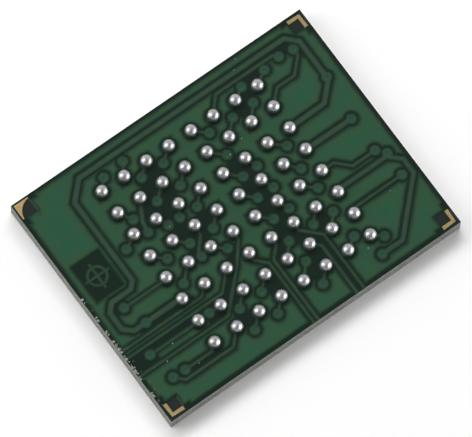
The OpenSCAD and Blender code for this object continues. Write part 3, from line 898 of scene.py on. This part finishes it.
# %% Dust on the lacquer
DUST_PLACES_MM = [(3.15, 4.5), (3.45, 4.8), (-2.25, 1.0), (1.85, 2.2), (1.15, 1.95), (5.1, -2.55),
                  (-4.75, -2.65), (-5.3, -3.08), (3.15, -3.85), (-4.4, -3.8)]
DUST_LIFT = 0.004 * MM
DUST_SINK = 0.01 * MM
dust = grow("dust_grains", CRUMBS, {
    "Size": 0.03 * MM, "Smallest": (0.6, 0.6, 0.4), "Roughen": 0.01 * MM, "Left limit": body_low.x,
    "Lowest": mask_high.z - DUST_SINK, "Seed": 5,
    # fine dust from the saw, which settled by itself: matt, and a grey close to the lacquer's green
    "Material": plain_finish("settled_dust", "7c8d80", "a3b0a5", 0.02, 0.8),
}, [(x * MM, y * MM, mask_high.z + DUST_LIFT) for x, y in DUST_PLACES_MM])
finish_piece(dust, "laminate")

# %% [markdown]
# ## Gold corner marks
#
# The corner marks are copper under a thin satin gold, plated where the lacquer was left open. A fine brown
# line of painted shade runs along their inner edge, where the mark steps down. The mark by the first ball is
# a filled corner with an arched inner edge, and keeps its imported shape. The other three are angles. They
# are made again as flat strips swept along two short lines each, set a little further in, where the gold
# begins.

# %% Satin gold
# from the part's outline to the middle of an angle's strip and to the end of its leg
MARK_LINE = 0.192 * MM
MARK_END = 0.68 * MM
MARK_WIDTH = 0.165 * MM
# the arched mark's inner edge, with its centre as far as this from both sides
ARC_CENTRE = 0.74 * MM
ARC_RADIUS = 0.6 * MM
# dark, middle and light tone of the plating, which came out duller on the three angles
FULL_GOLD = ("d9b274", "ecca92", "f6dfb4")
THIN_GOLD = ("c7a86f", "d9c08c", "e3d3ad")
# a brown line painted along the marks' inner edge as shade from the step there, and how far it reaches
STEP_SHADE_TONE = "452815"
STEP_SHADE_REACH = (0.03 * MM, 0.01 * MM)


def from_inner_edge(tree, arched):
    """How far each point of a mark lies from the edge that faces the part's middle."""
    axes = object_axes(tree)
    insets = []
    for half, axis in ((body_high.x, "X"), (body_high.y, "Y")):
        off_centre = add(tree, "ShaderNodeMath", [axes[axis]], operation="ABSOLUTE")
        insets.append(add(tree, "ShaderNodeMath", [half, off_centre], operation="SUBTRACT"))
    if not arched:
        nearest = add(tree, "ShaderNodeMath", insets, operation="MINIMUM")
        return add(tree, "ShaderNodeMath", [MARK_LINE + MARK_WIDTH / 2, nearest], operation="SUBTRACT")
    squares = []
    for inset in insets:
        leg = add(tree, "ShaderNodeMath", [inset, ARC_CENTRE], operation="SUBTRACT")
        squares.append(add(tree, "ShaderNodeMath", [leg, 2], operation="POWER"))
    total = add(tree, "ShaderNodeMath", squares, operation="ADD")
    from_centre = add(tree, "ShaderNodeMath", [total], operation="SQRT")
    return add(tree, "ShaderNodeMath", [from_centre, ARC_RADIUS], operation="SUBTRACT")


def gold_plating(name, arched, tones):
    """Thin gold on etched copper: a warm satin glow, since the plating follows the copper's grain."""
    material, tree, shader = new_material(name)
    # the real nodules are finer, and are drawn at 0.05 mm so that they show
    nodules = grain(tree, 0.05, detail=4, roughness=0.65)
    lumps = add(tree, "ShaderNodeMapRange", [nodules, 0.3, 0.7])
    tone = add(tree, "ShaderNodeValToRGB", [lumps], tones=list(zip((0, 0.5, 1), tones)))
    # painted shade: the gold turns brown near its inner edge, where the mark steps down
    step_shade = add(tree, "ShaderNodeMapRange", [from_inner_edge(tree, arched), *STEP_SHADE_REACH])
    shaded_tone = add(tree, "ShaderNodeMix", {FACTOR: step_shade, FIRST: tone, SECOND: linear(STEP_SHADE_TONE)},
                data_type="RGBA")
    relief = add(tree, "ShaderNodeBump", {"Height": nodules, "Strength": 0.5, "Distance": 0.006 * MM})
    fill(tree, shader, {"Base Color": shaded_tone, "Metallic": 1, "Roughness": 0.55, "Normal": relief})
    return material


dress(gold_plating("satin_gold_arched_mark", arched=True, tones=FULL_GOLD), "pin_1_mark")

# %% The three angle marks
def strip_tree():
    """Sweeps a flat rectangular strip along the seed lines."""
    tree, given, end = tree_with_inputs("flat_strips", {
        "Strip width": "Float", "Thickness": "Float", "Material": "Material"})
    path = add(tree, "GeometryNodeMeshToCurve", {"Mesh": given["Geometry"]})
    section = add(tree, "GeometryNodeCurvePrimitiveQuadrilateral", {
        "Width": given["Strip width"], "Height": given["Thickness"]})
    strip = add(tree, "GeometryNodeCurveToMesh", {
        "Curve": path, "Profile Curve": section, "Fill Caps": True})
    end_tree(tree, strip, given["Material"], end)
    return tree


MARKED_CORNERS = {"corner_mark_top_right": (1, 1), "corner_mark_bottom_left": (-1, -1),
                  "corner_mark_bottom_right": (1, -1)}
angle_points, angle_lines = [], []
for side_x, side_y in MARKED_CORNERS.values():
    first = len(angle_points)
    for inset_x, inset_y in ((MARK_END, MARK_LINE), (MARK_LINE, MARK_LINE), (MARK_LINE, MARK_END)):
        angle_points.append((side_x * (body_high.x - inset_x), side_y * (body_high.y - inset_y),
                             (mark_low.z + mark_high.z) / 2))
    angle_lines += [(first, first + 1), (first + 1, first + 2)]
angles = grow("angle_marks", strip_tree(), {
    "Strip width": MARK_WIDTH, "Thickness": mark_high.z - mark_low.z,
    "Material": gold_plating("satin_gold_angle_mark", arched=False, tones=THIN_GOLD),
}, angle_points, angle_lines)
finish_piece(angles, "gold_plating", *MARKED_CORNERS)
heights = [vert.co.z / MM for vert in angles.data.vertices]
print("angle marks from", round(min(heights), 3), "to", round(max(heights), 3), "mm")

# %% [markdown]
# ## The pieces inside
#
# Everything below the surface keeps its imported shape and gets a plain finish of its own, so that a cut or
# a view of one piece still looks right.

# %% Dress the pieces inside
# rolled copper foil, etched and a little tarnished: a dull orange brown
dress(plain_finish("etched_copper", "9a5f3c", "c98a5c", 0.05, 0.4, metallic=1), *COPPER_NODES,
      "via_barrels")
# drawn gold wire and the plated fingers that it is bonded to: a bright even yellow
dress(plain_finish("gold_bond_wire", "c9a24e", "e6c878", 0.02, 0.3, metallic=1), "bond_wires",
      "bond_fingers")
# the same printed lacquer as on top, hidden on the mould side: a dull green
dress(plain_finish("die_side_lacquer", "27412f", "38593f", 0.1, 0.5), "die_side_mask")
# lacquer pressed into the drilled holes and cured: a bluer green
dress(plain_finish("via_plug_resin", "255f47", "2d6d52", 0.05, 0.5), "via_plugs")
# a ground and polished wafer, sawn: a dark mirror
dress(plain_finish("polished_silicon", "4a5058", "5d646e", 0.5, 0.15, metallic=1), "silicon_die")
# adhesive film, cured under the die: a dull cream
dress(plain_finish("die_attach_adhesive", "cfc7a2", "ddd6b6", 0.1, 0.6), "die_attach_film")
